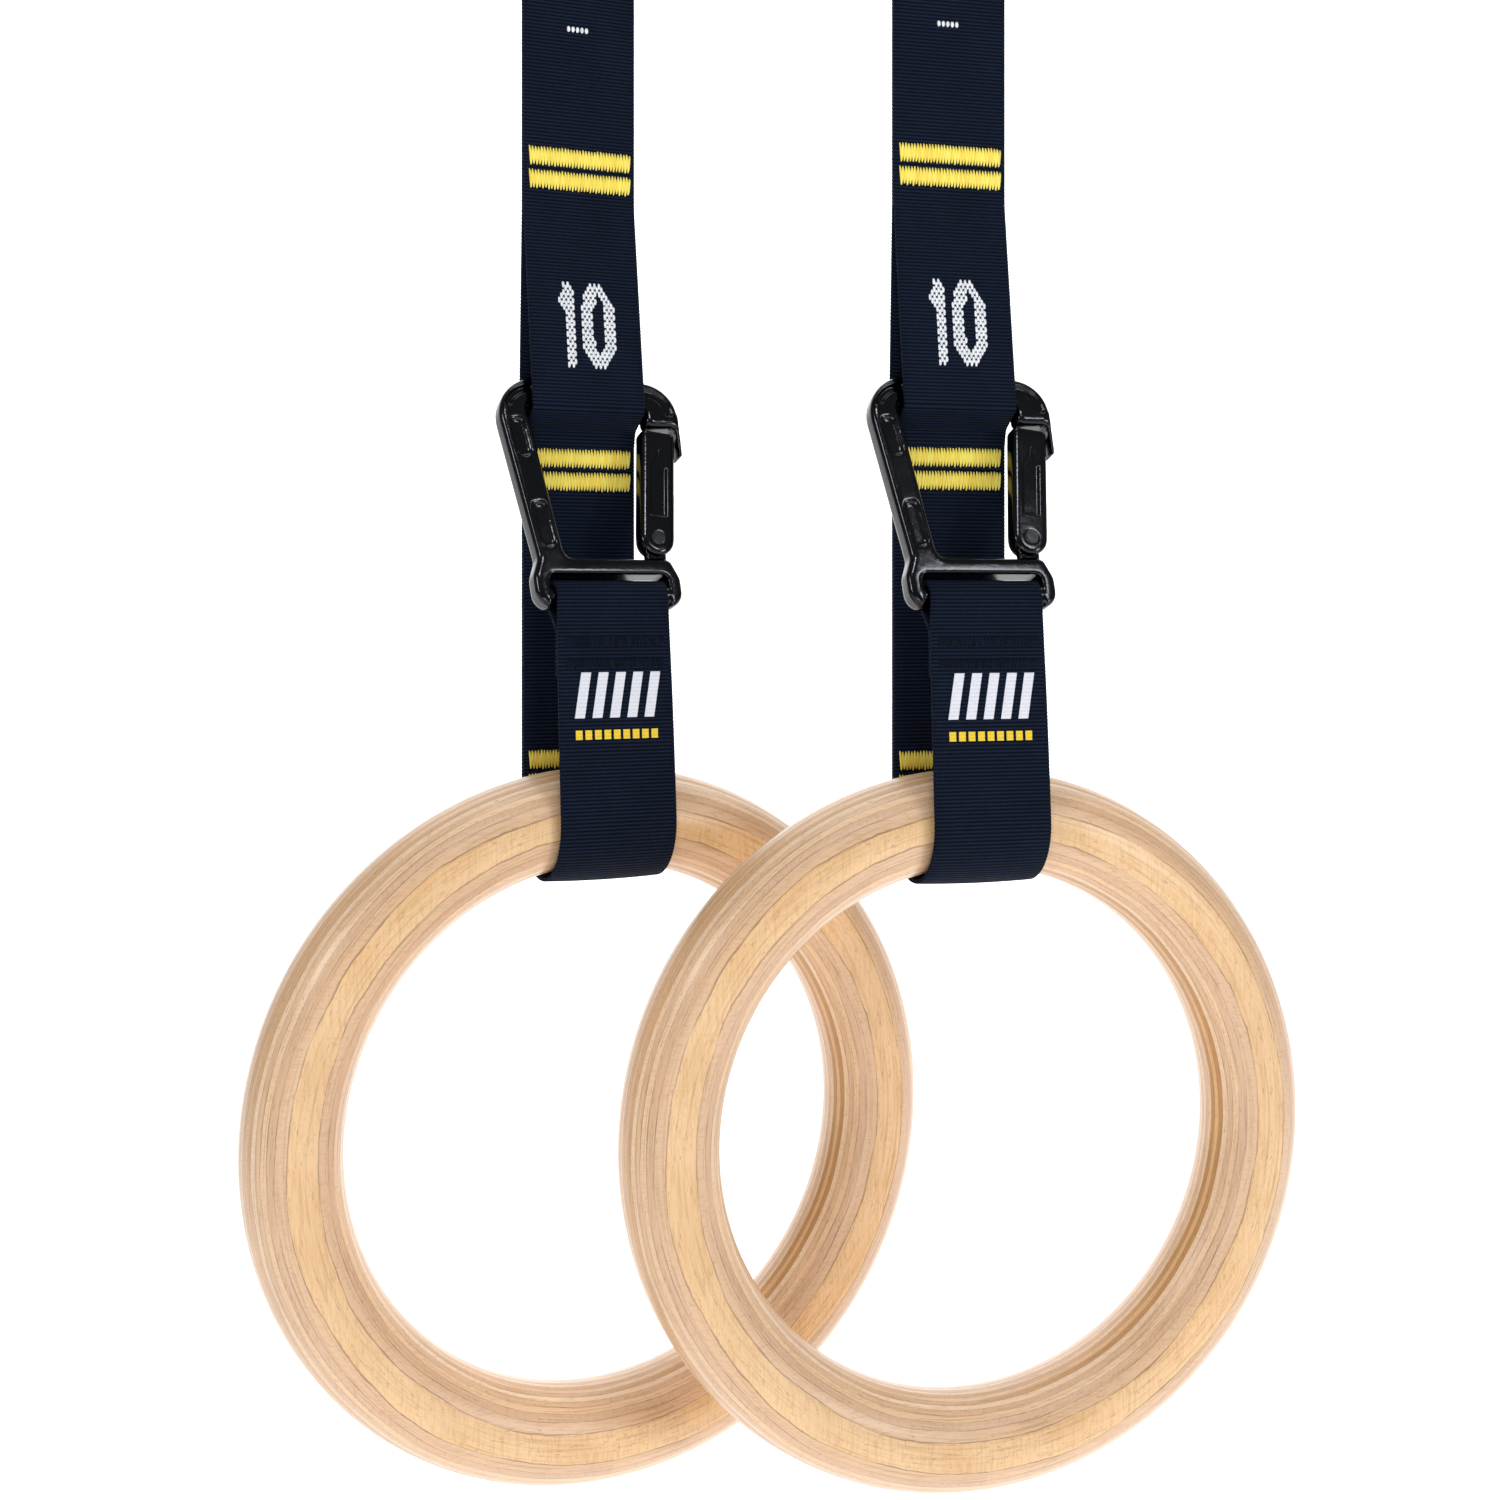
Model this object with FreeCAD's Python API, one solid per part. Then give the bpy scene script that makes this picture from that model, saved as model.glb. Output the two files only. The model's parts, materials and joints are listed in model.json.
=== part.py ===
"""A pair of wooden gymnastics rings on numbered daisy-chain straps with carabiner adjusters.

Units are millimetres. Each assembly is drawn in its own side frame: X along the width of its
webbing, Y away from the viewer, Z up, origin at the centre of its wooden ring. It is then
turned about Z and set beside the other one. The finished part has +Z up and its origin at the
centre of the left strap's hanging eye.
"""
import FreeCAD, Part
import math
import os
from FreeCAD import Vector

# ---------------------------------------------------------------- driving dimensions
RING_OUTER_DIAMETER = 235.0
RING_TUBE_DIAMETER = 32.0

WEB_WIDTH = 40.0
WEB_THICKNESS = 1.5
LAYER_GAP = 0.06            # air between two webbing layers sewn together
STRAP_PLANE = 19.2          # where the two layers of the strap meet, behind the ring's plane
CRADLE_RADIUS = 18.4        # inner radius of the webbing under the wooden tube
CRADLE_CENTRE_Z = 101.0

TACK_PITCH = 101.5          # one numbered pocket
FIRST_TACK_Z = 115.0        # centre of the lowest bar tack
TACK_WIDTH = 36.0
TACK_ROW_HEIGHT = 6.2
TACK_ROW_GAP = 1.6
THREAD_HEIGHT = 0.45

EYE_RADIUS = 16.5           # inside of the hanging eye's round top
EYE_DROP = 45.0             # from the eye's centre down to its closing bar tack
FLEX_GAP = 1.4              # the line where the strap bends under the eye

CARABINER_LEAN = 20.0       # degrees, foot towards the viewer
CARABINER_TOP = (17.9, 245.9)   # Y and Z of the top of the arch, mid-depth
FRAME_DEPTH = 8.0
EYE_BAR_RADIUS = 3.95       # round bar at the foot of the carabiner
EYE_BAR_Z = -77.55
BAND_CLEARANCE = 0.3

GATE_PIVOT = (19.5, -57.2)
GATE_TILT = 8.0
GATE_LENGTH = 39.6
GATE_WIDTH = 12.4
GATE_DEPTH = 7.2
TONGUE_DEPTH = 3.2
TONGUE_RADIUS = 4.6
PIVOT_RADIUS = 1.6

SIDES = {
    "left": {"yaw": 25.0, "ring_centre": (0.0, 0.0)},
    "right": {"yaw": 16.0, "ring_centre": (122.3, -8.0)},
}

# ---------------------------------------------------------------- worked-out dimensions
TUBE_RADIUS = RING_TUBE_DIAMETER / 2
RING_RADIUS = (RING_OUTER_DIAMETER - RING_TUBE_DIAMETER) / 2
HALF_WEB = WEB_THICKNESS / 2
BACK_LAYER = STRAP_PLANE + LAYER_GAP / 2 + HALF_WEB
FRONT_LAYER = STRAP_PLANE - LAYER_GAP / 2 - HALF_WEB
CRADLE_MID_RADIUS = CRADLE_RADIUS + HALF_WEB
TACK_HEIGHT = 2 * TACK_ROW_HEIGHT + TACK_ROW_GAP
TACK_Z = [FIRST_TACK_Z + TACK_PITCH * k for k in range(4)]
FLEX_Z = TACK_Z[3] - TACK_HEIGHT / 2 - 2.0
EYE_CENTRE = (STRAP_PLANE, TACK_Z[3] + TACK_HEIGHT / 2 + EYE_DROP)
EYE_MID_RADIUS = EYE_RADIUS + HALF_WEB
LEAN = math.radians(CARABINER_LEAN)


# ---------------------------------------------------------------- plane geometry
def unit(a, b):
    length = math.hypot(b[0] - a[0], b[1] - a[1])
    return ((b[0] - a[0]) / length, (b[1] - a[1]) / length)


def in_plane(plane, point):
    """A point of the side view (Y, Z) or of the front view (X, Z) as a 3-D vector."""
    return Vector(0, point[0], point[1]) if plane == "yz" else Vector(point[0], 0, point[1])


def rounded_edges(plane, corners, closed=False):
    """Straight runs joined by tangent arcs. A corner is (a, b, radius)."""
    count = len(corners)
    arcs = []
    for i, (a, b, radius) in enumerate(corners):
        if radius == 0 or (not closed and i in (0, count - 1)):
            arcs.append(((a, b), None, (a, b)))
            continue
        back = unit((a, b), corners[i - 1][:2])
        ahead = unit((a, b), corners[(i + 1) % count][:2])
        half = math.acos(max(-1.0, min(1.0, back[0] * ahead[0] + back[1] * ahead[1]))) / 2
        reach = radius / math.tan(half)
        start = (a + back[0] * reach, b + back[1] * reach)
        end = (a + ahead[0] * reach, b + ahead[1] * reach)
        inward = unit((0, 0), (back[0] + ahead[0], back[1] + ahead[1]))
        depth = radius / math.sin(half) - radius
        arcs.append((start, (a + inward[0] * depth, b + inward[1] * depth), end))
    edges = []
    for i, (start, middle, end) in enumerate(arcs):
        if middle is not None:
            points = [in_plane(plane, p) for p in (start, middle, end)]
            edges.append(Part.Arc(*points).toShape())
        if i < count - 1 or closed:
            run = [in_plane(plane, end), in_plane(plane, arcs[(i + 1) % count][0])]
            if run[0].distanceToPoint(run[1]) > 1e-6:
                edges.append(Part.LineSegment(*run).toShape())
    return edges


def offset_corners(corners, shift, closed=False):
    """The same rounded path moved sideways by shift, to the left of its direction."""
    moved = []
    count = len(corners)
    for i, (a, b, radius) in enumerate(corners):
        before = unit(corners[i - 1][:2], (a, b)) if i > 0 or closed else None
        after = unit((a, b), corners[(i + 1) % count][:2]) if i < count - 1 or closed else None
        before, after = before or after, after or before
        normals = [(-before[1], before[0]), (-after[1], after[0])]
        share = 1 + normals[0][0] * normals[1][0] + normals[0][1] * normals[1][1]
        turn = before[0] * after[1] - before[1] * after[0]
        new_radius = radius - math.copysign(shift, shift * turn) if radius else 0
        moved.append((
            a + shift * (normals[0][0] + normals[1][0]) / share,
            b + shift * (normals[0][1] + normals[1][1]) / share,
            new_radius,
        ))
    return moved


def webbing(corners, width=WEB_WIDTH, thickness=WEB_THICKNESS):
    """Webbing that follows a path in the side view, centred on X = 0."""
    left = offset_corners(corners, thickness / 2)
    right = offset_corners(corners, -thickness / 2)
    edges = rounded_edges("yz", left) + rounded_edges("yz", right)
    for end in (0, -1):
        tips = [in_plane("yz", side[end][:2]) for side in (left, right)]
        edges.append(Part.LineSegment(*tips).toShape())
    face = Part.Face(Part.Wire(Part.__sortEdges__(edges)))
    solid = face.extrude(Vector(width, 0, 0))
    solid.translate(Vector(-width / 2, 0, 0))
    return solid


def plate(corners, depth):
    """A rounded outline in the front view, extruded to both sides of Y = 0."""
    face = Part.Face(Part.Wire(rounded_edges("xz", corners, closed=True)))
    solid = face.extrude(Vector(0, depth, 0))
    solid.translate(Vector(0, -depth / 2, 0))
    return solid


def eased_plate(corners, depth, ease):
    """The same with its edges eased in two facets. The outline runs anticlockwise."""
    levels = [(-0.5 * depth, 1.0), (-0.5 * depth + 0.3 * ease, 0.38), (-0.5 * depth + ease, 0.0)]
    levels += [(-height, inset) for height, inset in reversed(levels)]
    wires = []
    for height, inset in levels:
        outline = offset_corners(corners, inset * ease, closed=True) if inset else corners
        wire = Part.Wire(rounded_edges("xz", outline, closed=True))
        wire.translate(Vector(0, height, 0))
        wires.append(wire)
    return Part.makeLoft(wires, True, True)


def box(low, high):
    size = [high[i] - low[i] for i in range(3)]
    return Part.makeBox(*size, Vector(*low))


def rod(radius, low, high, axis):
    """A round rod between two heights on an axis through the origin."""
    return Part.makeCylinder(radius, high - low, axis * low, axis)


def tangent_from(point, centre, radius, side):
    """Where the line from point touches the circle, on its left (+1) or right (-1) seen from point."""
    away = math.hypot(centre[0] - point[0], centre[1] - point[1])
    heading = math.atan2(centre[1] - point[1], centre[0] - point[0])
    reach = math.sqrt(away**2 - radius**2)
    angle = heading + side * math.asin(radius / away)
    return (point[0] + reach * math.cos(angle), point[1] + reach * math.sin(angle))


def at_height(start, end, height):
    """The point at a given height on the line through start and end."""
    share = (height - start[1]) / (end[1] - start[1])
    return (start[0] + share * (end[0] - start[0]), height)


def on_carabiner(behind, below):
    """Side-view point a distance behind the carabiner's mid-plane and below its top."""
    y = CARABINER_TOP[0] + behind * math.cos(LEAN) - below * math.sin(LEAN)
    z = CARABINER_TOP[1] - behind * math.sin(LEAN) - below * math.cos(LEAN)
    return (y, z)


# ---------------------------------------------------------------- ring and webbing
def wooden_ring():
    return Part.makeTorus(RING_RADIUS, TUBE_RADIUS, Vector(0, 0, 0), Vector(0, 1, 0))


def front_leg():
    """Both ends of the straight stretch from the carabiner's foot to the front of the tube."""
    bar = on_carabiner(0, -EYE_BAR_Z)
    bar_radius = EYE_BAR_RADIUS + BAND_CLEARANCE + HALF_WEB
    across = (bar[0], bar[1] - CRADLE_CENTRE_Z)
    away = math.hypot(*across)
    normal = math.atan2(across[1], across[0]) + math.acos((CRADLE_MID_RADIUS - bar_radius) / away)
    facing = (math.cos(normal), math.sin(normal))
    top = (bar[0] + bar_radius * facing[0], bar[1] + bar_radius * facing[1])
    foot = (CRADLE_MID_RADIUS * facing[0], CRADLE_CENTRE_Z + CRADLE_MID_RADIUS * facing[1])
    return bar, bar_radius, top, foot


def strap_webbing():
    """Down the back, under the wooden tube, up the front and over the carabiner's foot."""
    bar, bar_radius, leg_top, leg_foot = front_leg()
    down = unit(leg_top, leg_foot)
    beside = WEB_THICKNESS + LAYER_GAP
    inward = (-down[1] * beside, down[0] * beside)
    tail_end = at_height(leg_top, leg_foot, bar[1] - 25)
    tail_join = at_height(leg_top, leg_foot, bar[1] - 10)
    tail_end, tail_join = [(p[0] + inward[0], p[1] + inward[1]) for p in (tail_end, tail_join)]
    behind_bar = tangent_from(tail_join, bar, bar_radius, -1)
    over_bar = bar[1] + bar_radius
    under_tube = CRADLE_CENTRE_Z - CRADLE_MID_RADIUS
    arch_back = on_carabiner(FRAME_DEPTH / 2 + HALF_WEB + 0.5, 1.0)
    return webbing([
        (*tail_end, 0),
        (*tail_join, 3),
        (*at_height(tail_join, behind_bar, over_bar), bar_radius),
        (*at_height(leg_foot, leg_top, over_bar), bar_radius),
        (*at_height(leg_foot, leg_top, under_tube), CRADLE_MID_RADIUS),
        (BACK_LAYER, under_tube, CRADLE_MID_RADIUS),
        (BACK_LAYER, TACK_Z[1] + TACK_HEIGHT / 2 + 1, 8),
        (*arch_back, 12),
        (BACK_LAYER, TACK_Z[2] - TACK_HEIGHT / 2 - 5, 40),
        (BACK_LAYER, FLEX_Z - FLEX_GAP / 2, 0),
    ])


def pocket_webbing():
    """The numbered layer. It passes in front of the carabiner's arch and back under it."""
    return webbing([
        (FRONT_LAYER, TACK_Z[0] - TACK_HEIGHT / 2, 0),
        (FRONT_LAYER, TACK_Z[1] + TACK_HEIGHT / 2 + 0.4, 3),
        (*on_carabiner(4.6, 15.0), 3),
        (*on_carabiner(-5.7, 12.2), 2),
        (FRONT_LAYER, TACK_Z[2] - TACK_HEIGHT / 2 - 5, 40),
        (FRONT_LAYER, FLEX_Z - FLEX_GAP / 2, 0),
    ])


def hang_eye():
    """The fold at the strap's upper end, closed by the top bar tack."""
    neck_top = TACK_Z[3] + TACK_HEIGHT / 2 + 1.6
    eye_top = EYE_CENTRE[1] + EYE_MID_RADIUS
    front = tangent_from((FRONT_LAYER, neck_top), EYE_CENTRE, EYE_MID_RADIUS, 1)
    back = tangent_from((BACK_LAYER, neck_top), EYE_CENTRE, EYE_MID_RADIUS, -1)
    return webbing([
        (FRONT_LAYER, FLEX_Z + FLEX_GAP / 2, 0),
        (FRONT_LAYER, neck_top, 6),
        (*at_height((FRONT_LAYER, neck_top), front, eye_top), EYE_MID_RADIUS),
        (*at_height((BACK_LAYER, neck_top), back, eye_top), EYE_MID_RADIUS),
        (BACK_LAYER, neck_top, 6),
        (BACK_LAYER, FLEX_Z + FLEX_GAP / 2, 0),
    ])


def bar_tack(height):
    """Two rows of satin stitch, seen as raised thread on both faces of the two layers."""
    rows = []
    faces = (FRONT_LAYER - HALF_WEB - THREAD_HEIGHT, BACK_LAYER + HALF_WEB)
    for row in (-1, 1):
        middle = height + row * (TACK_ROW_HEIGHT + TACK_ROW_GAP) / 2
        for face in faces:
            low = (-TACK_WIDTH / 2, face, middle - TACK_ROW_HEIGHT / 2)
            high = (TACK_WIDTH / 2, face + THREAD_HEIGHT, middle + TACK_ROW_HEIGHT / 2)
            rows.append(box(low, high))
    return Part.makeCompound(rows)


def band_tack():
    """Dark stitching that closes the webbing's end behind the front leg, under the carabiner."""
    bar, _, leg_top, leg_foot = front_leg()
    down = unit(leg_top, leg_foot)
    slope = math.degrees(math.atan2(down[0], -down[1]))
    rows = []
    for drop in (14.0, 21.0):
        centre = at_height(leg_top, leg_foot, bar[1] - drop)
        for face in (-HALF_WEB - THREAD_HEIGHT, HALF_WEB + WEB_THICKNESS + LAYER_GAP):
            row = box((-17, face, -1.5), (17, face + THREAD_HEIGHT, 1.5))
            row.rotate(Vector(0, 0, 0), Vector(1, 0, 0), slope)
            row.translate(Vector(0, *centre))
            rows.append(row)
    return Part.makeCompound(rows)


# ---------------------------------------------------------------- carabiner, drawn upright
FRAME_OUTLINE = [
    (-33.0, 0, 14), (-23.4, -64.5, 3), (-25.6, -70.5, 4), (-25.3, -81.5, 6),
    (25.6, -81.5, 5.2), (25.6, -71.5, 4), (22.6, -64.8, 1.8), (-14.0, -64.6, 4),
    (-21.3, -9.4, 3), (20.8, -9.4, 2.5), (20.8, -16.6, 2.2), (32.9, -16.6, 2.2),
    (33.8, 0, 12.5),
]
NOSE_LIP = [(31.5, -12.0, 0), (31.5, -27.5, 0.6), (32.8, -27.5, 0.6), (33.2, -12.0, 0)]
SLOT_TOP, SLOT_HALF_WIDTH = -70.2, 20.8
EDGE_EASE = 1.4
RECESS_DEPTH = 0.9
SPINE_AXIS = ((-25.95, -13.0), (-20.05, -55.6))


def spine_recess(high, low, width=5.0):
    """A shallow rounded pocket along the spine, on both faces."""
    ends = [at_height(*SPINE_AXIS, z) for z in (high, low)]
    along = unit(*ends)
    side = (-along[1] * width / 2, along[0] * width / 2)
    corners = []
    for end, sign in ((0, 1), (1, 1), (1, -1), (0, -1)):
        corners.append((ends[end][0] + sign * side[0], ends[end][1] + sign * side[1], width * 0.42))
    cut = plate(corners, FRAME_DEPTH + 2)
    core = box((-40, -FRAME_DEPTH / 2 + RECESS_DEPTH, -90), (40, FRAME_DEPTH / 2 - RECESS_DEPTH, 5))
    return cut.cut(core)


def carabiner_frame():
    body = eased_plate(FRAME_OUTLINE, FRAME_DEPTH, EDGE_EASE)
    slot = [
        (-SLOT_HALF_WIDTH, SLOT_TOP, 2.4), (SLOT_HALF_WIDTH, SLOT_TOP, 2.4),
        (SLOT_HALF_WIDTH, -90.0, 0), (-SLOT_HALF_WIDTH, -90.0, 0),
    ]
    body = body.cut(plate(slot, FRAME_DEPTH + 2))
    foot_bar = Part.makeCylinder(
        EYE_BAR_RADIUS, 2 * SLOT_HALF_WIDTH + 2, Vector(-SLOT_HALF_WIDTH - 1, 0, EYE_BAR_Z), Vector(1, 0, 0))
    pivot = Vector(GATE_PIVOT[0], 0, GATE_PIVOT[1])
    tongue = Part.makeCylinder(
        TONGUE_RADIUS, TONGUE_DEPTH, pivot - Vector(0, TONGUE_DEPTH / 2, 0), Vector(0, 1, 0))
    neck = box((pivot.x - 4.4, -TONGUE_DEPTH / 2, -65.6), (pivot.x + 2.9, TONGUE_DEPTH / 2, pivot.z))
    lip = plate(NOSE_LIP, FRAME_DEPTH - 1)
    body = body.fuse([foot_bar, tongue, neck, lip]).removeSplitter()
    for high, low in ((-15.5, -29.0), (-45.5, -61.0)):
        body = body.cut(spine_recess(high, low))
    hole = Part.makeCylinder(PIVOT_RADIUS + 0.01, 20, pivot - Vector(0, 10, 0), Vector(0, 1, 0))
    return body.cut(hole)


def on_gate(shape):
    """From the gate's own frame, pivot at the origin and tip up, to the carabiner's."""
    shape.rotate(Vector(0, 0, 0), Vector(0, 1, 0), GATE_TILT)
    shape.translate(Vector(GATE_PIVOT[0], 0, GATE_PIVOT[1]))
    return shape


GUIDE_RADIUS, BORE_RADIUS = 1.6, 2.0
BORE_LOW, BORE_HIGH = 9.0, 28.0
SPRING_WIRE = 0.5
PLUNGER_HEAD = 11.0


def carabiner_gate():
    half = GATE_WIDTH / 2
    outline = [
        (-half, -half, half - 0.05), (half, -half, half - 0.05),
        (half, GATE_LENGTH, 1.6), (-half, GATE_LENGTH, 1.6),
    ]
    body = eased_plate(outline, GATE_DEPTH, 1.4)
    slot_half = TONGUE_DEPTH / 2 + 0.25
    fork = box((-half - 1, -slot_half, -half - 1), (half + 1, slot_half, 0))
    clear = Part.makeCylinder(
        TONGUE_RADIUS + 0.4, 2 * slot_half, Vector(0, -slot_half, 0), Vector(0, 1, 0))
    hole = Part.makeCylinder(PIVOT_RADIUS + 0.08, 20, Vector(0, -10, 0), Vector(0, 1, 0))
    up = Vector(0, 0, 1)
    body = body.cut([fork, clear, hole, rod(GUIDE_RADIUS, 0, BORE_LOW + 1, up),
                     rod(BORE_RADIUS, BORE_LOW, BORE_HIGH, up)])
    return on_gate(body)


def gate_plunger():
    up = Vector(0, 0, 1)
    seat = TONGUE_RADIUS + 0.05
    stem = rod(GUIDE_RADIUS - 0.1, seat + 1.2, PLUNGER_HEAD, up)
    dome = Part.makeSphere(GUIDE_RADIUS - 0.1, Vector(0, 0, seat + GUIDE_RADIUS - 0.1))
    head = rod(BORE_RADIUS - 0.12, BORE_LOW + 0.1, PLUNGER_HEAD, up)
    return on_gate(stem.fuse([dome, head]).removeSplitter())


def gate_spring():
    """A compression coil between the plunger and the end of the bore."""
    coil_radius = BORE_RADIUS - 0.15 - SPRING_WIRE / 2
    low, high = PLUNGER_HEAD + SPRING_WIRE / 2 + 0.05, BORE_HIGH - SPRING_WIRE / 2 - 0.05
    turns = 9
    helix = Part.makeHelix((high - low) / turns, high - low, coil_radius)
    wire = Part.Wire(Part.makeCircle(SPRING_WIRE / 2, Vector(coil_radius, 0, 0), Vector(0, 1, 0)))
    coil = Part.Wire(helix).makePipeShell([wire], True, True)
    coil.translate(Vector(0, 0, low))
    return on_gate(coil)


def gate_pivot():
    """A rivet through the gate's two cheeks and the frame's tongue."""
    reach = GATE_DEPTH / 2 + 0.05
    shank = Part.makeCylinder(PIVOT_RADIUS, 2 * reach, Vector(0, -reach, 0), Vector(0, 1, 0))
    heads = []
    for face in (-1, 1):
        heads.append(Part.makeCone(
            2.5, 1.9, 0.7, Vector(0, face * reach, 0), Vector(0, face, 0)))
    return on_gate(shank.fuse(heads).removeSplitter())


def lean(shape):
    """From the upright carabiner to its place in the side frame."""
    shape.rotate(Vector(0, 0, 0), Vector(1, 0, 0), -CARABINER_LEAN)
    shape.translate(Vector(0, *CARABINER_TOP))
    return shape


# ---------------------------------------------------------------- both assemblies
def side_parts():
    parts = {
        "wooden_ring": wooden_ring(),
        "strap_webbing": strap_webbing(),
        "pocket_webbing": pocket_webbing(),
        "hang_eye": hang_eye(),
        "band_tack": band_tack(),
        "carabiner_frame": lean(carabiner_frame()),
        "carabiner_gate": lean(carabiner_gate()),
        "gate_pivot": lean(gate_pivot()),
        "gate_plunger": lean(gate_plunger()),
        "gate_spring": lean(gate_spring()),
    }
    for number, height in enumerate(TACK_Z, start=1):
        parts["bar_tack_%d" % number] = bar_tack(height)
    return parts


def to_part_frame(shape, side):
    """Turns one assembly about Z and sets it beside the other, origin at the left eye."""
    yaw = SIDES[side]["yaw"]
    centre = SIDES[side]["ring_centre"]
    left = math.radians(SIDES["left"]["yaw"])
    eye = Vector(-math.sin(left) * EYE_CENTRE[0], math.cos(left) * EYE_CENTRE[0], EYE_CENTRE[1])
    placed = shape.copy()
    placed.rotate(Vector(0, 0, 0), Vector(0, 0, 1), yaw)
    placed.translate(Vector(centre[0], centre[1], 0) - eye)
    return placed


def main():
    os.makedirs("parts", exist_ok=True)
    for side in SIDES:
        for name, shape in side_parts().items():
            to_part_frame(shape, side).exportStep("parts/%s_%s.step" % (side, name))


main()
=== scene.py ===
"""Looks for a pair of laminated wooden gymnastics rings on numbered daisy-chain straps.

Each assembly is modelled in its own side frame, in millimetres: X along the webbing's width,
Y away from the viewer, Z up, origin at the centre of its wooden ring. side_matrix() takes it
to the row frame, in metres.
"""
import json
import math
import random

import bpy
import numpy as np
from mathutils import Matrix, Vector


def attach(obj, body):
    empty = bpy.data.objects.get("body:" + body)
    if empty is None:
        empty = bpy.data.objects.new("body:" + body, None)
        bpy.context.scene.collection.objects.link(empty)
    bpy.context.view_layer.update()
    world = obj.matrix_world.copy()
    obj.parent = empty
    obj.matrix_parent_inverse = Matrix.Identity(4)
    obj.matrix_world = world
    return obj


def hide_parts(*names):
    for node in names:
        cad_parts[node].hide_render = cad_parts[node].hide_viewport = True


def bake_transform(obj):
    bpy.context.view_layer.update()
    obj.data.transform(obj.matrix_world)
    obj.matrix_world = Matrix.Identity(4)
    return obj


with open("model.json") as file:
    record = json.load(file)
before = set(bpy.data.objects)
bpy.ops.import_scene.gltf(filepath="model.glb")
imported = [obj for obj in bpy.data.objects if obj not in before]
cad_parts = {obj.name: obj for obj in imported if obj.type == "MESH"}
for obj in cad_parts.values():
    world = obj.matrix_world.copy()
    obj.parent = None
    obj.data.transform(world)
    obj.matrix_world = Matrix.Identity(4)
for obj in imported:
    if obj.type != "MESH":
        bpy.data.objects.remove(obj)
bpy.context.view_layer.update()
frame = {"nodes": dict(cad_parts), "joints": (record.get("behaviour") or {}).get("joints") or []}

# ---------------------------------------------------------------- sizes, as in the CAD model, mm
RING_RADIUS, TUBE_RADIUS = 101.5, 16.0
WEB_WIDTH, WEB_THICKNESS, LAYER_GAP = 40.0, 1.5, 0.06
STRAP_PLANE = 19.2
CRADLE_RADIUS, CRADLE_CENTRE_Z = 18.4, 101.0
TACK_WIDTH, TACK_ROW_HEIGHT, TACK_ROW_GAP = 36.0, 6.2, 1.6
TACK_Z = [115.0 + 101.5 * k for k in range(4)]
EYE_RADIUS, EYE_DROP = 16.5, 45.0
LEAN = math.radians(20.0)
CARABINER_TOP = (17.9, 245.9)
FRAME_DEPTH = 8.0
EYE_BAR_RADIUS, EYE_BAR_Z, BAND_CLEARANCE = 3.95, -77.55, 0.3
GATE_PIVOT, GATE_TILT = (19.5, -57.2), math.radians(8.0)

HALF_WEB = WEB_THICKNESS / 2
BACK_LAYER = STRAP_PLANE + LAYER_GAP / 2 + HALF_WEB
FRONT_LAYER = STRAP_PLANE - LAYER_GAP / 2 - HALF_WEB
CRADLE_MID_RADIUS = CRADLE_RADIUS + HALF_WEB
TACK_HEIGHT = 2 * TACK_ROW_HEIGHT + TACK_ROW_GAP
EYE_CENTRE = (STRAP_PLANE, TACK_Z[3] + TACK_HEIGHT / 2 + EYE_DROP)
EYE_MID_RADIUS = EYE_RADIUS + HALF_WEB

RIB_PITCH = 1.2              # one weft rib of the webbing
WARP_PITCH = 0.95            # one cell across a rib
PATH_STEP, ARC_STEP = 0.3, 0.1
RIB_DEPTH = 0.1              # how far the face sinks between ribs
EDGE_SCALLOP = 0.16          # how far the selvedge pulls in between ribs
WEAVE_UV, SHADE = "weave", "shade"

SIDES = ("left", "right")
JOINTS = {joint["name"]: joint for joint in frame["joints"]}


def side_yaw(side):
    axis = JOINTS[side + "_ring_tilt"]["axis"]
    return math.atan2(axis[1], axis[0])


def side_matrix(side):
    """Side frame in millimetres to row frame in metres."""
    tube_top = Vector(JOINTS[side + "_ring_tilt"]["pos_m"])
    centre = tube_top - Vector((0, 0, RING_RADIUS / 1000))
    turn = Matrix.Rotation(side_yaw(side), 4, "Z")
    return Matrix.Translation(centre) @ turn @ Matrix.Scale(0.001, 4)


# ---------------------------------------------------------------- meshes
def new_object(name, points, faces, matrix, material, uv=None, shade=None):
    """A mesh object from side-frame points. uv is per point, shade a number per point."""
    points = np.asarray(points, float)
    m = np.array(matrix)
    placed = points @ m[:3, :3].T + m[:3, 3]
    mesh = bpy.data.meshes.new(name)
    mesh.from_pydata(placed.tolist(), [], [tuple(f) for f in faces])
    mesh.update()
    if uv is not None:
        layer = mesh.uv_layers.new(name=WEAVE_UV)
        loops = np.zeros(len(mesh.loops), np.int32)
        mesh.loops.foreach_get("vertex_index", loops)
        layer.data.foreach_set("uv", np.asarray(uv, np.float32)[loops].ravel())
    if shade is not None:
        tint = mesh.attributes.new(SHADE, "FLOAT", "POINT")
        tint.data.foreach_set("value", np.asarray(shade, np.float32))
    mesh.polygons.foreach_set("use_smooth", [True] * len(mesh.polygons))
    mesh.materials.append(material)
    obj = bpy.data.objects.new(name, mesh)
    bpy.context.scene.collection.objects.link(obj)
    return obj


def grid_faces(rows, columns, wrap=False):
    """Quads between rows of points. wrap joins each row's last point to its first."""
    faces = []
    last = columns if wrap else columns - 1
    for i in range(rows - 1):
        low, high = i * columns, (i + 1) * columns
        for j in range(last):
            k = (j + 1) % columns
            faces.append((low + j, low + k, high + k, high + j))
    return faces


def unit(a, b):
    length = math.hypot(b[0] - a[0], b[1] - a[1])
    return ((b[0] - a[0]) / length, (b[1] - a[1]) / length)


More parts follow.
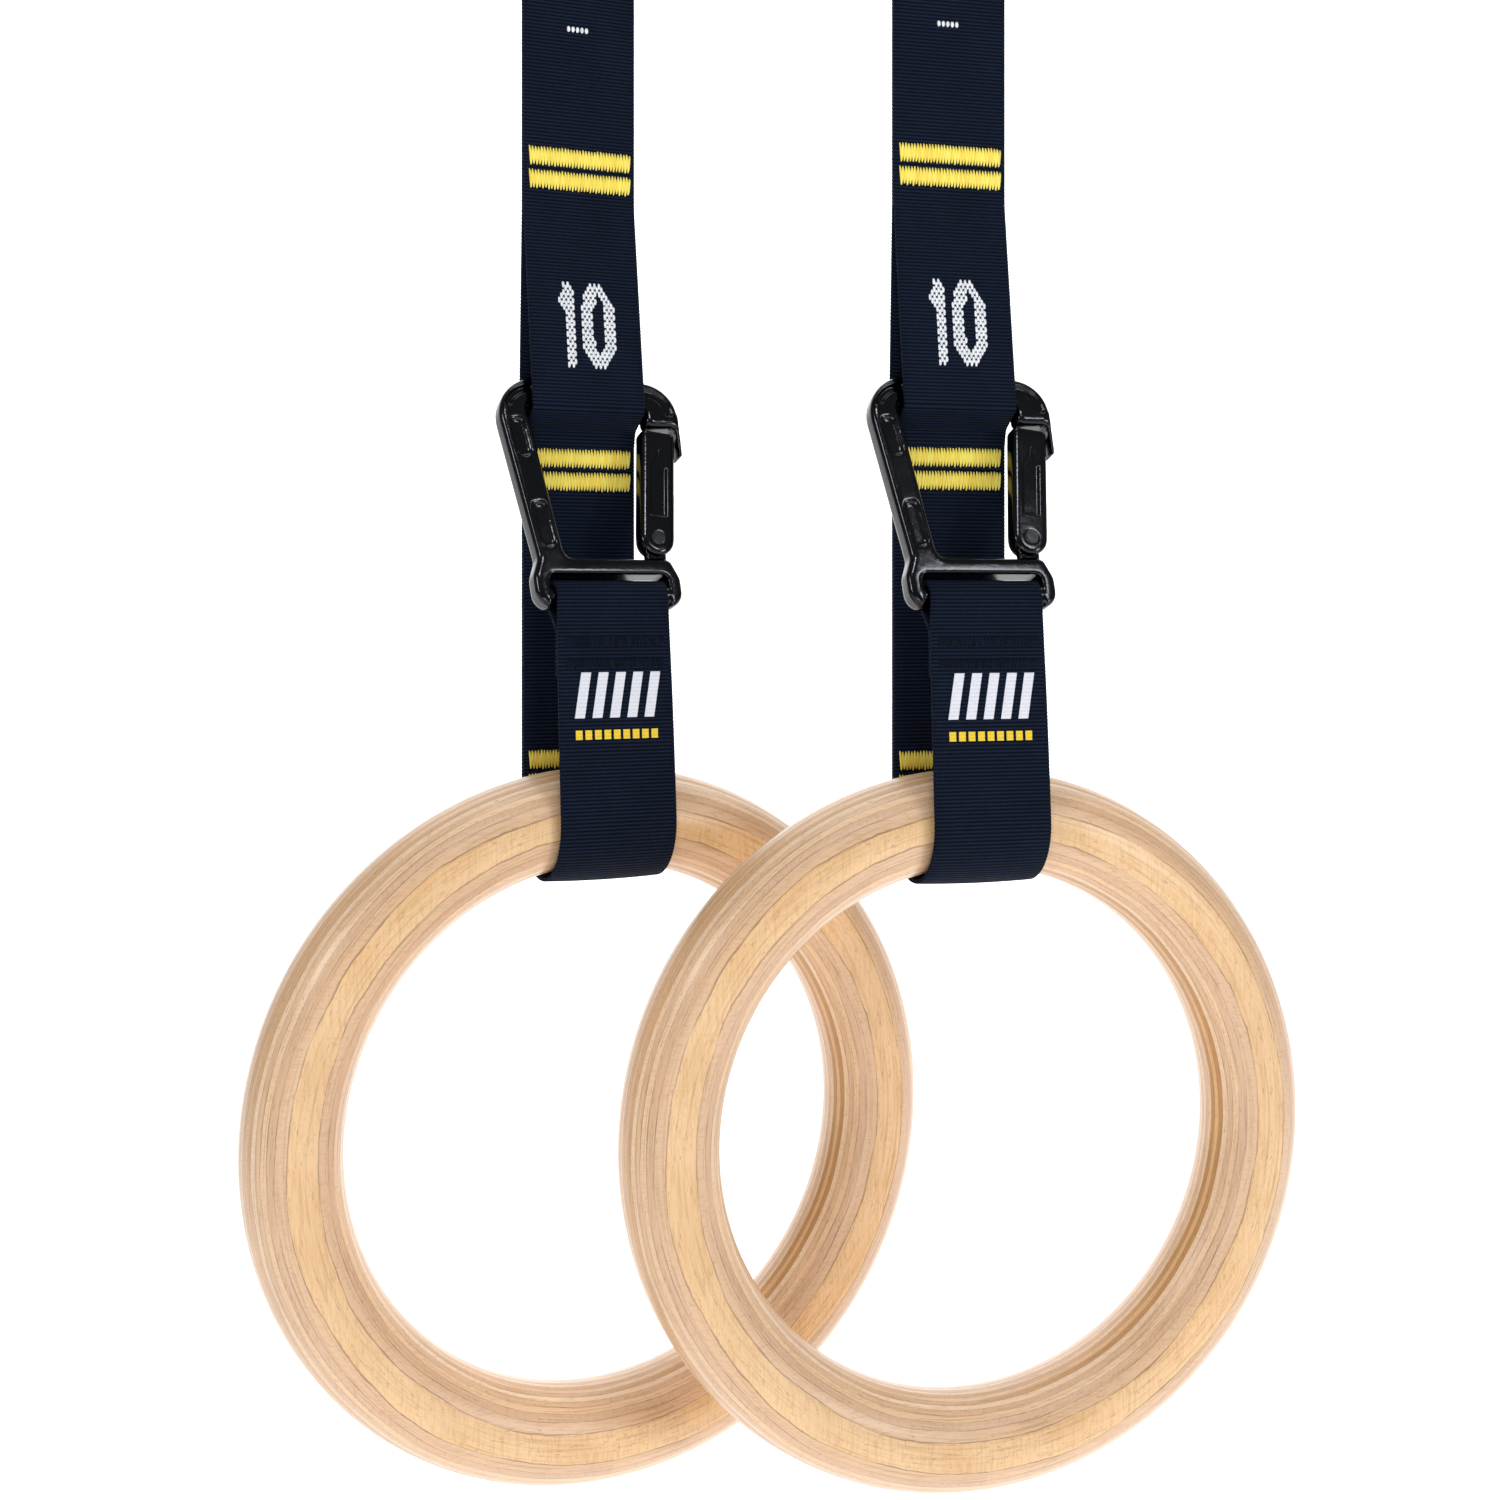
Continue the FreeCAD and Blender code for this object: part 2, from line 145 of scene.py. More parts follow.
def sample_path(corners, step):
    """Points every step along straight runs joined by tangent arcs. A corner is (y, z, radius).

    Returns distances along the path, the points and the unit directions.
    """
    dense = []
    for i, (a, b, radius) in enumerate(corners):
        if radius == 0 or i in (0, len(corners) - 1):
            dense.append((a, b))
            continue
        back = unit((a, b), corners[i - 1][:2])
        ahead = unit((a, b), corners[i + 1][:2])
        half = math.acos(max(-1.0, min(1.0, back[0] * ahead[0] + back[1] * ahead[1]))) / 2
        reach = radius / math.tan(half)
        middle = unit((0, 0), (back[0] + ahead[0], back[1] + ahead[1]))
        centre = (a + middle[0] * radius / math.sin(half), b + middle[1] * radius / math.sin(half))
        start = (a + back[0] * reach - centre[0], b + back[1] * reach - centre[1])
        end = (a + ahead[0] * reach - centre[0], b + ahead[1] * reach - centre[1])
        angle = math.atan2(start[1], start[0])
        sweep = (math.atan2(end[1], end[0]) - angle + math.pi) % (2 * math.pi) - math.pi
        count = max(4, int(abs(sweep) * radius / ARC_STEP))
        for k in range(count + 1):
            t = angle + sweep * k / count
            dense.append((centre[0] + radius * math.cos(t), centre[1] + radius * math.sin(t)))
    dense = np.array(dense)
    run = np.r_[0, np.cumsum(np.hypot(*np.diff(dense, axis=0).T))]
    keep = np.r_[True, np.diff(run) > 1e-6]
    dense, run = dense[keep], run[keep]
    s = np.arange(0, run[-1], step)
    path = np.c_[np.interp(s, run, dense[:, 0]), np.interp(s, run, dense[:, 1])]
    along = np.gradient(path, axis=0)
    along /= np.linalg.norm(along, axis=1)[:, None]
    return s, path, along


def tangent_from(point, centre, radius, side):
    """Where a line from the point touches the circle, on the side +1 or -1 of its centre."""
    away = math.hypot(centre[0] - point[0], centre[1] - point[1])
    heading = math.atan2(centre[1] - point[1], centre[0] - point[0])
    reach = math.sqrt(away**2 - radius**2)
    angle = heading + side * math.asin(radius / away)
    return (point[0] + reach * math.cos(angle), point[1] + reach * math.sin(angle))


def at_height(start, end, height):
    """The point of the line through start and end at a height."""
    share = (height - start[1]) / (end[1] - start[1])
    return (start[0] + share * (end[0] - start[0]), height)


def on_carabiner(behind, below):
    """Side-frame (y, z) of a point of the leaning carabiner, measured from its top."""
    y = CARABINER_TOP[0] + behind * math.cos(LEAN) - below * math.sin(LEAN)
    z = CARABINER_TOP[1] - behind * math.sin(LEAN) - below * math.cos(LEAN)
    return (y, z)


def front_leg():
    """The foot bar's centre and the webbing's radius on it, and the leg's top and foot."""
    bar = on_carabiner(0, -EYE_BAR_Z)
    bar_radius = EYE_BAR_RADIUS + BAND_CLEARANCE + HALF_WEB
    across = (bar[0], bar[1] - CRADLE_CENTRE_Z)
    away = math.hypot(*across)
    normal = math.atan2(across[1], across[0]) + math.acos((CRADLE_MID_RADIUS - bar_radius) / away)
    facing = (math.cos(normal), math.sin(normal))
    top = (bar[0] + bar_radius * facing[0], bar[1] + bar_radius * facing[1])
    foot = (CRADLE_MID_RADIUS * facing[0], CRADLE_CENTRE_Z + CRADLE_MID_RADIUS * facing[1])
    return bar, bar_radius, top, foot


TAIL_DROPS = (25, 10)         # the sewn end's two corners, below the foot bar
SPREAD_Z = TACK_Z[2] - TACK_HEIGHT / 2 - 5      # the layers part below this height
NECK_Z = TACK_Z[3] + TACK_HEIGHT / 2 + 1.6      # and part again above this one, for the eye
POCKET_IN, POCKET_OUT = (-5.7, 12.2), (4.6, 15.0)    # the pocket layer's turns at the arch


def strap_corners():
    """The whole strap, from its sewn end to its lowest tack. A corner is (y, z, bend radius)."""
    bar, bar_radius, leg_top, leg_foot = front_leg()
    down = unit(leg_top, leg_foot)
    beside = WEB_THICKNESS + LAYER_GAP
    tail = []
    for drop in TAIL_DROPS:
        y, z = at_height(leg_top, leg_foot, bar[1] - drop)
        tail.append((y - down[1] * beside, z + down[0] * beside))
    behind_bar = tangent_from(tail[1], bar, bar_radius, -1)
    over_bar = bar[1] + bar_radius
    under_tube = CRADLE_CENTRE_Z - CRADLE_MID_RADIUS
    arch_back = on_carabiner(FRAME_DEPTH / 2 + HALF_WEB + 0.5, 1.0)
    eye_top = EYE_CENTRE[1] + EYE_MID_RADIUS
    front_neck, back_neck = (FRONT_LAYER, NECK_Z), (BACK_LAYER, NECK_Z)
    eye_front = tangent_from(front_neck, EYE_CENTRE, EYE_MID_RADIUS, 1)
    eye_back = tangent_from(back_neck, EYE_CENTRE, EYE_MID_RADIUS, -1)
    return [
        # sewn end, over the foot bar, front leg
        (*tail[0], 0),
        (*tail[1], 3),
        (*at_height(tail[1], behind_bar, over_bar), bar_radius),
        (*at_height(leg_foot, leg_top, over_bar), bar_radius),
        # under the wooden tube
        (*at_height(leg_foot, leg_top, under_tube), CRADLE_MID_RADIUS),
        (BACK_LAYER, under_tube, CRADLE_MID_RADIUS),
        # back layer, pushed back where it passes the carabiner's arch
        (BACK_LAYER, TACK_Z[1] + TACK_HEIGHT / 2 + 1, 8),
        (*arch_back, 12),
        (BACK_LAYER, SPREAD_Z, 40),
        (*back_neck, 6),
        # hanging eye
        (*at_height(back_neck, eye_back, eye_top), EYE_MID_RADIUS),
        (*at_height(front_neck, eye_front, eye_top), EYE_MID_RADIUS),
        # pocket layer, in front of the arch and back under it
        (*front_neck, 6),
        (FRONT_LAYER, SPREAD_Z, 40),
        (*on_carabiner(*POCKET_IN), 2),
        (*on_carabiner(*POCKET_OUT), 3),
        (FRONT_LAYER, TACK_Z[1] + TACK_HEIGHT / 2 + 0.4, 3),
        (FRONT_LAYER, TACK_Z[0] - TACK_HEIGHT / 2, 0),
    ]


class Strap:
    """The strap's surface as a function of distance across (mm) and distance along (mm)."""

    TAIL_REACH = 60.0        # the foot bar is within this distance of the sewn end
    GRIP_REACH, GRIP = 34.0, 0.035
    BOW_DEPTH, SAG, BOW_REACH = 0.7, 0.6, 4.0

    def __init__(self):
        self.s, self.path, along = sample_path(strap_corners(), PATH_STEP)
        self.left = np.c_[-along[:, 1], along[:, 0]]
        start = self.s < self.TAIL_REACH
        self.over_bar = self.s[int(self.path[start, 1].argmax())]

    @staticmethod
    def valley(s):
        """0 on a rib's crown, 1 between ribs."""
        return 0.5 - 0.5 * np.cos(2 * math.pi * s / RIB_PITCH)

    def half_width(self, s):
        """The webbing is gathered a little where the carabiner's foot grips it."""
        grip = np.exp(-((s - self.over_bar) / self.GRIP_REACH) ** 2)
        return WEB_WIDTH / 2 * (1 - self.GRIP * grip)

    def bow(self, x, y, z):
        """Under the tube the webbing hangs straight across, with a slight sag in its middle."""
        away = np.hypot(y, z - CRADLE_CENTRE_Z)
        down = np.clip((CRADLE_CENTRE_Z - z) / np.maximum(away, 1e-6), 0, 1)
        near = np.clip(1 - np.abs(away - CRADLE_MID_RADIUS) / self.BOW_REACH, 0, 1)
        middle = 1 - (x / (WEB_WIDTH / 2)) ** 2
        return -down * near * (self.BOW_DEPTH + self.SAG * middle)

    def point(self, x, s, face, lift=0.0):
        """A point of the surface. face is +1 on the path's left side, -1 on its right, 0 inside.

        x, s and lift, the height over the surface, may be arrays.
        """
        x, s = np.broadcast_arrays(np.asarray(x, float), np.asarray(s, float))
        y = np.interp(s, self.s, self.path[:, 0])
        z = np.interp(s, self.s, self.path[:, 1])
        ny = np.interp(s, self.s, self.left[:, 0])
        nz = np.interp(s, self.s, self.left[:, 1])
        out = face * (HALF_WEB - RIB_DEPTH * self.valley(s) + lift)
        y, z = y + ny * out, z + nz * out
        rise = self.bow(x, y, z)
        away = np.maximum(np.hypot(y, z - CRADLE_CENTRE_Z), 1e-6)
        return np.stack([x, y - rise * y / away, z + rise * (CRADLE_CENTRE_Z - z) / away], -1)

    def at(self, y, z, leg):
        """Distance along the path of the point nearest (y, z), between leg's two distances."""
        gap = np.hypot(self.path[:, 0] - y, self.path[:, 1] - z)
        gap[(self.s < leg[0]) | (self.s > leg[1])] = np.inf
        return self.s[gap.argmin()]

    def section(self):
        """Cross-section points as (share of half width, face share) round the webbing."""
        flat = np.linspace(-0.985, 0.985, 11)
        edge = [(0.995, 0.72), (1.0, 0.0), (0.995, -0.72)]
        points = [(x, 1.0) for x in flat] + edge
        points += [(x, -1.0) for x in flat[::-1]] + [(-x, -f) for x, f in edge]
        return points

    def build(self, name, matrix, material):
        section = self.section()
        s = self.s
        half_width = self.half_width(s) - EDGE_SCALLOP * self.valley(s)
        rows, uv = [], []
        for across, face in section:
            x = across * half_width
            surface = self.point(x, s, 1 if face >= 0 else -1)
            centre = self.point(x, s, 0)
            rows.append(centre + (surface - centre) * abs(face))
            uv.append(np.c_[x, s])
        points = np.stack(rows, 1).reshape(-1, 3)
        uv = np.stack(uv, 1).reshape(-1, 2)
        count = len(section)
        faces = grid_faces(len(s), count, wrap=True)
        faces.append(tuple(range(count)))
        faces.append(tuple(range(len(points) - 1, len(points) - count - 1, -1)))
        return new_object(name, points, faces, matrix, material, uv=uv)


STRAP = Strap()
S_END = STRAP.s[-1]
S_EYE = STRAP.at(EYE_CENTRE[0], EYE_CENTRE[1] + EYE_MID_RADIUS, (0, S_END))
POCKET_LEG, BAND_LEG = (S_EYE, S_END), (20, 140)


THREAD_SIDES = 6


def threads(strokes, flat):
    """Tubes along polylines. A stroke is (points, outward normal, radii, shade).

    flat is the tubes' height as a share of their width.
    """
    points, faces, shade, uv = [], [], [], []
    sides = THREAD_SIDES
    turns = [2 * math.pi * k / sides for k in range(sides)]
    ring = [(math.cos(turn), math.sin(turn)) for turn in turns]
    for line, normal, radii, tone in strokes:
        line = np.asarray(line, float)
        along = np.gradient(line, axis=0)
        along /= np.linalg.norm(along, axis=1)[:, None]
        up = np.asarray(normal, float)
        across = np.cross(along, up)
        across /= np.linalg.norm(across, axis=1)[:, None]
        up = np.cross(across, along)
        base = len(points)
        run = np.r_[0, np.cumsum(np.linalg.norm(np.diff(line, axis=0), axis=1))]
        for i in range(len(line)):
            for k, (c, d) in enumerate(ring):
                offset = across[i] * c * radii[i] + up[i] * d * radii[i] * flat
                points.append(line[i] + offset)
                shade.append(tone)
                uv.append((k / sides, run[i]))
        faces += [tuple(base + v for v in f) for f in grid_faces(len(line), sides, wrap=True)]
        faces.append(tuple(base + k for k in range(sides)))
        last = base + (len(line) - 1) * sides
        faces.append(tuple(last + k for k in reversed(range(sides))))
    return points, faces, shade, uv


STITCH_RADIUS, STITCH_FLAT = 0.37, 0.6
STITCH_STOPS = (0, 0.06, 0.2, 0.5, 0.8, 0.94, 1)
STITCH_TAPER = np.array([0.45, 0.72, 0.98, 1.05, 0.98, 0.72, 0.45])
STITCH_SINK = 0.12           # how deep a stitch's ends go into the webbing
STITCH_TOOTH, STITCH_STRAY = 0.14, 0.16


def satin_row(strokes, surface, low, high, width, rng, pitch, rise):
    """Close zigzag stitches between two heights. surface(x, z, lift) gives a point."""
    count = int(width / pitch)
    for i in range(count):
        x0 = -width / 2 + width * i / count
        x1 = x0 + width / count
        ends = (low, high) if i % 2 else (high, low)
        # every second pair of stitches stands out a little, so the row's edges have teeth
        tooth = STITCH_TOOTH if i % 4 in (0, 3) else -STITCH_TOOTH
        z0 = ends[0] + rng.uniform(-STITCH_STRAY, STITCH_STRAY) + tooth
        z1 = ends[1] + rng.uniform(-STITCH_STRAY, STITCH_STRAY) - tooth
        line = []
        for t in STITCH_STOPS:
            arch = 1 - abs(2 * t - 1) ** 5
            lift = (rise + STITCH_SINK) * arch - STITCH_SINK
            line.append(surface(x0 + (x1 - x0) * t, z0 + (z1 - z0) * t, lift))
        middle = (z0 + z1) / 2
        normal = surface(x0, middle, 1.0) - surface(x0, middle, 0.0)
        strokes.append((line, normal, STITCH_RADIUS * STITCH_TAPER, rng.uniform(-1, 1)))


def bar_tack(side, number, matrix, material):
    """Two satin rows on the front layer and two behind the back layer. Number 1 is lowest."""
    rng = random.Random(100 * number + SIDES.index(side))
    middle = TACK_Z[number - 1]
    strokes = []
    for layer, outward in ((FRONT_LAYER, -1), (BACK_LAYER, 1)):
        face_y = layer + outward * HALF_WEB

        def surface(x, z, lift, face_y=face_y, outward=outward):
            return np.array([x, face_y + outward * lift, z])

        for row in (-1, 1):
            centre = middle + row * (TACK_ROW_HEIGHT + TACK_ROW_GAP) / 2
            half = TACK_ROW_HEIGHT / 2 - 0.1
            satin_row(strokes, surface, centre - half, centre + half, TACK_WIDTH, rng,
                      pitch=0.525, rise=0.3)
    points, faces, shade, uv = threads(strokes, STITCH_FLAT)
    name = "%s_bar_tack_%d_thread" % (side, number)
    return new_object(name, points, faces, matrix, material, uv=uv, shade=shade)


BAND_ROW_DROPS = (14.0, 21.0)    # the band's stitched rows, below the foot bar
BAND_ROW_WIDTH, BAND_ROW_HALF = 34.0, 1.4


def band_tack(side, matrix, material):
    """Dark stitching through the front leg and the sewn end behind it."""
    rng = random.Random(900 + SIDES.index(side))
    bar, _, leg_top, leg_foot = front_leg()
    down = unit(leg_top, leg_foot)
    normal = (-down[1], down[0])
    strokes = []
    for drop in BAND_ROW_DROPS:
        middle = at_height(leg_top, leg_foot, bar[1] - drop)
        for offset, outward in ((-HALF_WEB, -1), (HALF_WEB + WEB_THICKNESS + LAYER_GAP, 1)):
            def surface(x, z, lift, middle=middle, offset=offset, outward=outward):
                away = offset + outward * lift
                return np.array([x, middle[0] - down[0] * z + normal[0] * away,
                                 middle[1] - down[1] * z + normal[1] * away])
            satin_row(strokes, surface, -BAND_ROW_HALF, BAND_ROW_HALF, BAND_ROW_WIDTH, rng,
                      pitch=0.6, rise=0.25)
    points, faces, shade, uv = threads(strokes, STITCH_FLAT)
    name = side + "_band_tack_thread"
    return new_object(name, points, faces, matrix, material, uv=uv, shade=shade)


# ---------------------------------------------------------------- woven marks
def faces_viewer(s):
    """+1 or -1: the side of the path that faces the viewer at s."""
    return 1 if np.interp(s, STRAP.s, STRAP.left[:, 0]) < 0 else -1


PAGE = faces_viewer(STRAP.at(FRONT_LAYER, 350.0, POCKET_LEG))

COLUMN, ROW = 0.8, 1.33      # lattice of the white floats: every other cell of each row is used
COLUMNS, ROWS = range(-14, 15), range(23)
NUMBER_LOW, NUMBER_SHIFT = 249.9, -0.3    # height of the number's lowest float, and its offset
FLOAT_LENGTH, FLOAT_RADIUS, FLOAT_FLAT = 2.2, 0.45, 0.5
FLOAT_STOPS = (-1, -0.8, -0.4, 0, 0.4, 0.8, 1)
FLOAT_TAPER = np.array([0.3, 0.72, 1, 1.05, 1, 0.72, 0.3])
DOT_Z, DOT_X, DOT_PITCH, DOTS = 365.6, -4.1, 1.6, 5
DOT_LENGTH, DOT_RADIUS = 1.9, 0.6

ONE = [(-7.0, 28.7), (-4.4, 28.7), (-3.4, 24), (-3.4, 0), (-7.0, 0), (-7.0, 18.0), (-9.4, 22.6)]
ZERO = [(2.0, 28.7), (6.4, 28.7), (11.1, 20.6), (11.1, 6.7),
        (7.4, 0), (3.2, 0), (-1.5, 6.7), (-1.5, 20.6)]
ZERO_HOLE = [(5.2, 25.2), (7.1, 20.4), (7.1, 8.2), (5.2, 3.8), (3.1, 8.2), (3.1, 20.4)]


def inside(polygon, x, y):
    hit = False
    for (x0, y0), (x1, y1) in zip(polygon, polygon[1:] + polygon[:1]):
        if (y0 > y) != (y1 > y) and x < (x1 - x0) * (y - y0) / (y1 - y0) + x0:
            hit = not hit
    return hit


def float_stroke(x, s, length, radius, shade):
    """One woven float on the page: it dips into the webbing at both ends."""
    line = []
    for t in FLOAT_STOPS:
        lift = 0.14 - 0.3 * abs(t) ** 3
        line.append(STRAP.point(x, s + t * length / 2, PAGE, lift))
    normal = STRAP.point(x, s, PAGE, 1.0) - STRAP.point(x, s, PAGE)
    return (line, normal, radius * FLOAT_TAPER, shade)


def number_marks(side, matrix, material):
    """The pocket's number, woven in white floats, and a short row of dots one pocket up."""
    rng = random.Random(40 + SIDES.index(side))
    strokes = []
    for row in ROWS:
        for column in COLUMNS:
            x, z = column * COLUMN, row * ROW
            in_zero = inside(ZERO, x, z) and not inside(ZERO_HOLE, x, z)
            if (row + column) % 2 == 0 and (inside(ONE, x, z) or in_zero):
                s = STRAP.at(FRONT_LAYER, NUMBER_LOW + z, POCKET_LEG)
                strokes.append(float_stroke(x + NUMBER_SHIFT, s, FLOAT_LENGTH, FLOAT_RADIUS,
                                            rng.uniform(-1, 1)))
    s = STRAP.at(FRONT_LAYER, DOT_Z, POCKET_LEG)
    for k in range(DOTS):
        strokes.append(float_stroke(DOT_X + DOT_PITCH * k, s, DOT_LENGTH, DOT_RADIUS,
                                    rng.uniform(-1, 1)))
    points, faces, shade, uv = threads(strokes, FLOAT_FLAT)
    name = side + "_pocket_number"
    return new_object(name, points, faces, matrix, material, uv=uv, shade=shade)


# ---------------------------------------------------------------- printed marks
INK_LIFT, INK_STEP, INK_COLUMNS = 0.03, 0.15, 9
BARS, BAR_X, BAR_PITCH, BAR_WIDTH, BAR_SLANT = 5, -14.6, 6.0, 3.4, 2.6
BAR_TOP_Z, BAR_LOW_Z = 149.0, 134.5
DASHES, DASH_X, DASH_PITCH, DASH_WIDTH = 9, -14.4, 3.26, 2.3
DASH_TOP_Z, DASH_LOW_Z = 130.6, 127.6


def ink_patches(name, s0, s1, lefts, width, slant, matrix, material):
    """Thin ink films between two distances along the band, which may slant, as one piece."""
    points, faces, uv = [], [], []
    face = faces_viewer(s0)
    rows = max(2, int(abs(s1 - s0) / INK_STEP))
    for left in lefts:
        base = len(points)
        for i in range(rows + 1):
            t = i / rows
            low = left + slant * (1 - t)
            for j in range(INK_COLUMNS):
                x = low + width * j / (INK_COLUMNS - 1)
                s = s0 + (s1 - s0) * t
                points.append(STRAP.point(x, s, face, INK_LIFT))
                uv.append((x, s))
        faces += [tuple(base + v for v in f) for f in grid_faces(rows + 1, INK_COLUMNS)]
    return new_object(name, points, faces, matrix, material, uv=uv)


def band_prints(side, matrix, white, yellow):
    """A plain block of slanted bars with a dashed line under it, printed on the front leg."""
    _, _, leg_top, leg_foot = front_leg()

    def s_at(z):
        return STRAP.at(*at_height(leg_top, leg_foot, z), BAND_LEG)

    return [
        ink_patches(side + "_band_print", s_at(BAR_TOP_Z), s_at(BAR_LOW_Z),
                    [BAR_X + BAR_PITCH * k for k in range(BARS)], BAR_WIDTH, BAR_SLANT,
                    matrix, white),
        ink_patches(side + "_band_line", s_at(DASH_TOP_Z), s_at(DASH_LOW_Z),
                    [DASH_X + DASH_PITCH * k for k in range(DASHES)], DASH_WIDTH, 0.0,
                    matrix, yellow),
    ]


# ---------------------------------------------------------------- material helpers
class Nodes:
    """A short way to write a material's node tree."""

    def __init__(self, name):
        self.material = bpy.data.materials.new(name)
        self.material.use_nodes = True
        self.tree = self.material.node_tree
        self.tree.nodes.clear()
        self.output = self.tree.nodes.new("ShaderNodeOutputMaterial")
        self.shader = self.tree.nodes.new("ShaderNodeBsdfPrincipled")
        self.link(self.shader.outputs[0], self.output.inputs[0])

    def link(self, source, target):
        self.tree.links.new(source, target)

    def set(self, **values):
        for key, value in values.items():
            self.shader.inputs[key.replace("_", " ")].default_value = value

    def feed(self, key, source):
        self.link(source, self.shader.inputs[key.replace("_", " ")])

    def node(self, kind, **settings):
        made = self.tree.nodes.new("ShaderNode" + kind)
        for key, value in settings.items():
            setattr(made, key, value)
        return made

    def put(self, value, socket):
        """A number, a colour or another node's output into a socket."""
        if isinstance(value, (int, float)):
            socket.default_value = value
        elif isinstance(value, tuple):
            socket.default_value = (*value, 1)
        else:
            self.link(value, socket)

    def math(self, operation, a, b=0.0):
        made = self.node("Math", operation=operation)
        self.put(a, made.inputs[0])
        self.put(b, made.inputs[1])
        return made.outputs[0]

    def add(self, a, b):
        return self.math("ADD", a, b)

    def minus(self, a, b):
        return self.math("SUBTRACT", a, b)

    def times(self, a, b):
        return self.math("MULTIPLY", a, b)

    def limited(self, value, low, high):
        return self.math("MINIMUM", self.math("MAXIMUM", value, low), high)

    def object_point(self):
        return self.node("TexCoord").outputs["Object"]

    def uv(self):
        return self.node("UVMap", uv_map=WEAVE_UV).outputs[0]

    def split(self, vector):
        made = self.node("SeparateXYZ")
        self.link(vector, made.inputs[0])
        return made.outputs

    def join(self, *parts):
        """A vector. Each part is a number, a value, or a (value, factor) pair to multiply."""
        made = self.node("CombineXYZ")
        for part, socket in zip(parts, made.inputs):
            self.put(self.times(*part) if isinstance(part, tuple) else part, socket)
        return made.outputs[0]

    def noise(self, vector, scale=1.0, detail=2.0, roughness=0.5, distortion=0.0):
        made = self.node("TexNoise")
        self.link(vector, made.inputs["Vector"])
        for key, value in (("Scale", scale), ("Detail", detail), ("Roughness", roughness),
                           ("Distortion", distortion)):
            made.inputs[key].default_value = value
        return made.outputs[0]

    def ramp(self, factor, stops, interpolation="LINEAR"):
        made = self.node("ValToRGB")
        made.color_ramp.interpolation = interpolation
        elements = made.color_ramp.elements
        while len(elements) < len(stops):
            elements.new(0.5)
        for element, (position, colour) in zip(elements, stops):
            element.position = position
            element.color = (*colour, 1)
        self.link(factor, made.inputs[0])
        return made.outputs[0]

    def mix(self, factor, a, b, blend="MIX"):
        made = self.node("Mix", data_type="RGBA", blend_type=blend)
        for value, index in ((factor, 0), (a, 6), (b, 7)):
            self.put(value, made.inputs[index])
        return made.outputs[2]

    def tinted(self, amount, colour, factor, stops):
        """The colour multiplied by a ramp, by the given amount."""
        return self.mix(amount, colour, self.ramp(factor, stops), "MULTIPLY")

    def bump(self, height, distance, strength):
        made = self.node("Bump")
        made.inputs["Strength"].default_value = strength
        made.inputs["Distance"].default_value = distance
        self.link(height, made.inputs["Height"])
        self.link(made.outputs[0], self.shader.inputs["Normal"])


def srgb(r, g, b):
    """An 8-bit screen colour as the linear colour that the nodes want."""
    out = []
    for value in (r, g, b):
        v = value / 255
        out.append(v / 12.92 if v <= 0.04045 else ((v + 0.055) / 1.055) ** 2.4)
    return tuple(out)


# ---------------------------------------------------------------- materials
PLY = 1.5                    # thickness of one veneer, mm
FACE_DEPTH = 15.3            # from mid-thickness to the first glue line
FACE, CREAM, PALE, TAN, ROSE = (
    (232, 194, 148), (231, 196, 158), (235, 204, 170), (221, 184, 148), (216, 178, 144))
BROWN, AMBER = (190, 142, 86), (224, 180, 126)
VENEERS = [FACE, TAN, ROSE, CREAM, TAN, PALE, BROWN, AMBER, BROWN, CREAM, ROSE,
           PALE, TAN, CREAM, ROSE, TAN, PALE, ROSE, CREAM, TAN, PALE, FACE]
CORE = 7                     # the amber veneer, with a brown one on each side of it
GLUE, DARK_FIBRE = (150, 112, 78), (158, 116, 80)

PLAIN = (1, 1, 1)
FIBRE_TINTS = [(0.32, (0.86, 0.80, 0.73)), (0.5, PLAIN), (0.75, (1.05, 1.05, 1.04))]
STREAK_TINTS = [(0.3, (0.77, 0.70, 0.62)), (0.47, PLAIN), (0.75, (1.05, 1.05, 1.05))]
CLOUD_TINTS = [(0.3, (0.93, 0.91, 0.9)), (0.5, PLAIN), (0.72, (1.05, 1.0, 0.93))]
FIGURE_TINTS = [(0.0, (0.93, 0.85, 0.72)), (0.16, PLAIN), (1, PLAIN)]
BLOTCH_TINTS = [(0.35, (0.95, 0.9, 0.8)), (0.6, (1.02, 1.02, 1.0))]


